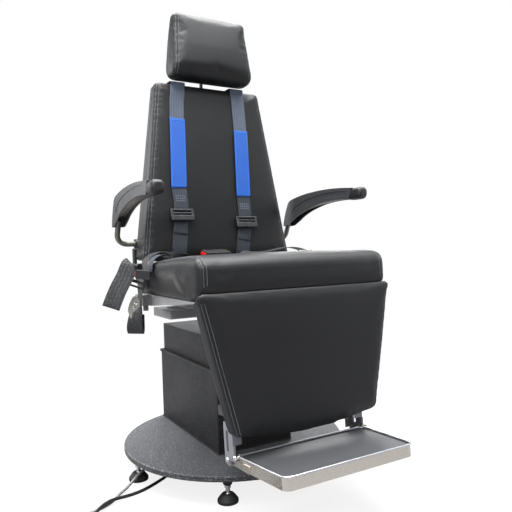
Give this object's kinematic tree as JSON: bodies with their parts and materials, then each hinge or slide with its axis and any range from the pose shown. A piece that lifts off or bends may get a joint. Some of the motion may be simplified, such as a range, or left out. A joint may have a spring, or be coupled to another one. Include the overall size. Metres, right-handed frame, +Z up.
{
  "type": "rotary examination chair",
  "caption": "Motorised turning examination chair on a round plate, with reclining back, headrest, swing-up armrests, harness, folding legrest and footrest tray.",
  "frame": {"origin": "on the floor under the middle of the round base plate, on the chair's turning axis", "axes": "+Z up, the chair faces -Y, +X to the right of someone who looks along +Y at the chair's front"},
  "size_m": [1.0104, 0.9719, 1.4716],
  "materials": {
    "disc_grey": "fine dark speckle, satin",
    "black_plastic": "matt",
    "steel": "machined",
    "black_rubber": "matt",
    "casing_black": "fine textured powder coat",
    "column_aluminium": "satin",
    "dark_metal": "satin powder coat",
    "frame_black": "black satin powder coat",
    "grey_cable_sheath": "smooth matt",
    "grey_plastic": "satin",
    "black_cable_sheath": "smooth matt",
    "plug_black": "satin",
    "motor_iron": "varnished",
    "frame_grey": "satin powder coat",
    "upholstery": "soft satin grain",
    "belt_black": "ribbed weave",
    "webbing_blue_grey": "ribbed weave",
    "sleeve_blue": "smooth woven",
    "hook_zinc": "polished",
    "button_red": "gloss",
    "arm_plastic": "satin",
    "tube_grey": "satin",
    "grip_black": "satin",
    "bracket_lilac": "satin",
    "tray_steel": "brushed, warm",
    "mat_grey": "smooth",
    "bolt_chrome": "polished"
  },
  "bodies": {
    "base": {"base_disc": "disc_grey", "foot_bosses": "black_plastic", "foot_stems": "steel", "foot_pads": "black_rubber", "lower_casing": "casing_black", "outer_column": "column_aluminium", "lift_actuator": "dark_metal", "drive_electronics": "column_aluminium", "cable_entry": "black_plastic", "grey_cable": "grey_cable_sheath", "grey_coil": "grey_cable_sheath", "grey_plug": "grey_plastic", "black_cable": "black_cable_sheath", "black_coil": "black_cable_sheath", "black_plug": "plug_black"},
    "lift": {"upper_casing": "casing_black", "inner_column": "column_aluminium", "actuator_rod": "steel", "motor_housing": "dark_metal", "motor_stator": "motor_iron", "bearing_outer_ring": "steel", "bearing_balls": "steel"},
    "seat": {"spindle": "steel", "motor_rotor": "motor_iron", "bearing_inner_ring": "steel", "carrier_frame": "frame_grey", "seat_tray": "frame_grey", "seat_cushion": "upholstery", "lap_belt_left": "belt_black", "lap_belt_right": "belt_black", "belt_adjusters": "black_plastic", "belt_buckles": "black_plastic", "snap_hooks": "hook_zinc", "recline_pins": "steel"},
    "centre_button": {"button_centre": "button_red"},
    "left_button": {"button_left": "button_red"},
    "side_button": {"button_side": "button_red"},
    "backrest": {"back_frame": "frame_black", "back_cushion": "upholstery", "shoulder_strap_left": "webbing_blue_grey", "shoulder_strap_right": "webbing_blue_grey", "strap_sleeves": "sleeve_blue", "strap_adjusters": "black_plastic"},
    "headrest": {"headrest_post": "dark_metal", "headrest_cushion": "upholstery"},
    "armrest_left": {"arm_left": "arm_plastic", "arm_tube_left": "tube_grey", "grip_left": "grip_black"},
    "armrest_right": {"arm_right": "arm_plastic", "arm_tube_right": "tube_grey", "grip_right": "grip_black"},
    "legrest_slide": {"legrest_carriage": "steel"},
    "legrest": {"legrest_frame": "frame_black", "legrest_cushion": "upholstery", "legrest_pins": "steel"},
    "footrest": {"footrest_brackets": "bracket_lilac", "footrest_tray": "tray_steel", "footrest_mat": "mat_grey", "footrest_bolts": "bolt_chrome"}
  },
  "joints": [
    {"name": "seat_lift", "type": "slide", "parent": "base", "child": "lift", "axis": [0, 0, 1], "range_m": [-0.06, 0.07]},
    {"name": "chair_rotation", "type": "hinge", "parent": "lift", "child": "seat", "pos_m": [0, 0, 0.45], "axis": [0, 0, 1], "continuous": true},
    {"name": "backrest_recline", "type": "hinge", "parent": "seat", "child": "backrest", "pos_m": [0, 0.016, 0.54], "axis": [-1, 0, 0], "range_deg": [0, 65]},
    {"name": "headrest_height", "type": "slide", "parent": "backrest", "child": "headrest", "axis": [0, 0.0314, 0.9995], "range_m": [0, 0.08]},
    {"name": "armrest_left", "type": "hinge", "parent": "backrest", "child": "armrest_left", "pos_m": [0, 0.15817, 0.71084], "axis": [-1, 0, 0], "range_deg": [0, 90]},
    {"name": "armrest_right", "type": "hinge", "parent": "backrest", "child": "armrest_right", "pos_m": [0, 0.15817, 0.71084], "axis": [-1, 0, 0], "range_deg": [0, 90]},
    {"name": "legrest_slide", "type": "slide", "parent": "seat", "child": "legrest_slide", "axis": [0, -1, 0], "range_m": [0, 0.075]},
    {"name": "legrest_raise", "type": "hinge", "parent": "legrest_slide", "child": "legrest", "pos_m": [0, -0.377, 0.56], "axis": [-1, 0, 0], "range_deg": [0, 80]},
    {"name": "footrest_extend", "type": "slide", "parent": "legrest", "child": "footrest", "axis": [0, -0.068, -0.9977], "range_m": [0, 0.06]},
    {"name": "centre_release", "type": "slide", "parent": "seat", "child": "centre_button", "axis": [1, 0, 0], "range_m": [0, 0.004], "stiffness_N_per_m": 900, "springref_m": -0.001},
    {"name": "left_release", "type": "slide", "parent": "seat", "child": "left_button", "axis": [0.867, -0.4883, -0.0997], "range_m": [0, 0.002], "stiffness_N_per_m": 900, "springref_m": -0.001},
    {"name": "side_release", "type": "slide", "parent": "seat", "child": "side_button", "axis": [1, 0, 0], "range_m": [0, 0.0026], "stiffness_N_per_m": 900, "springref_m": -0.001}
  ],
  "couplings": [
    {"joint": "legrest_slide", "follows": "legrest_raise", "m_per_rad": 0.0537}
  ]
}
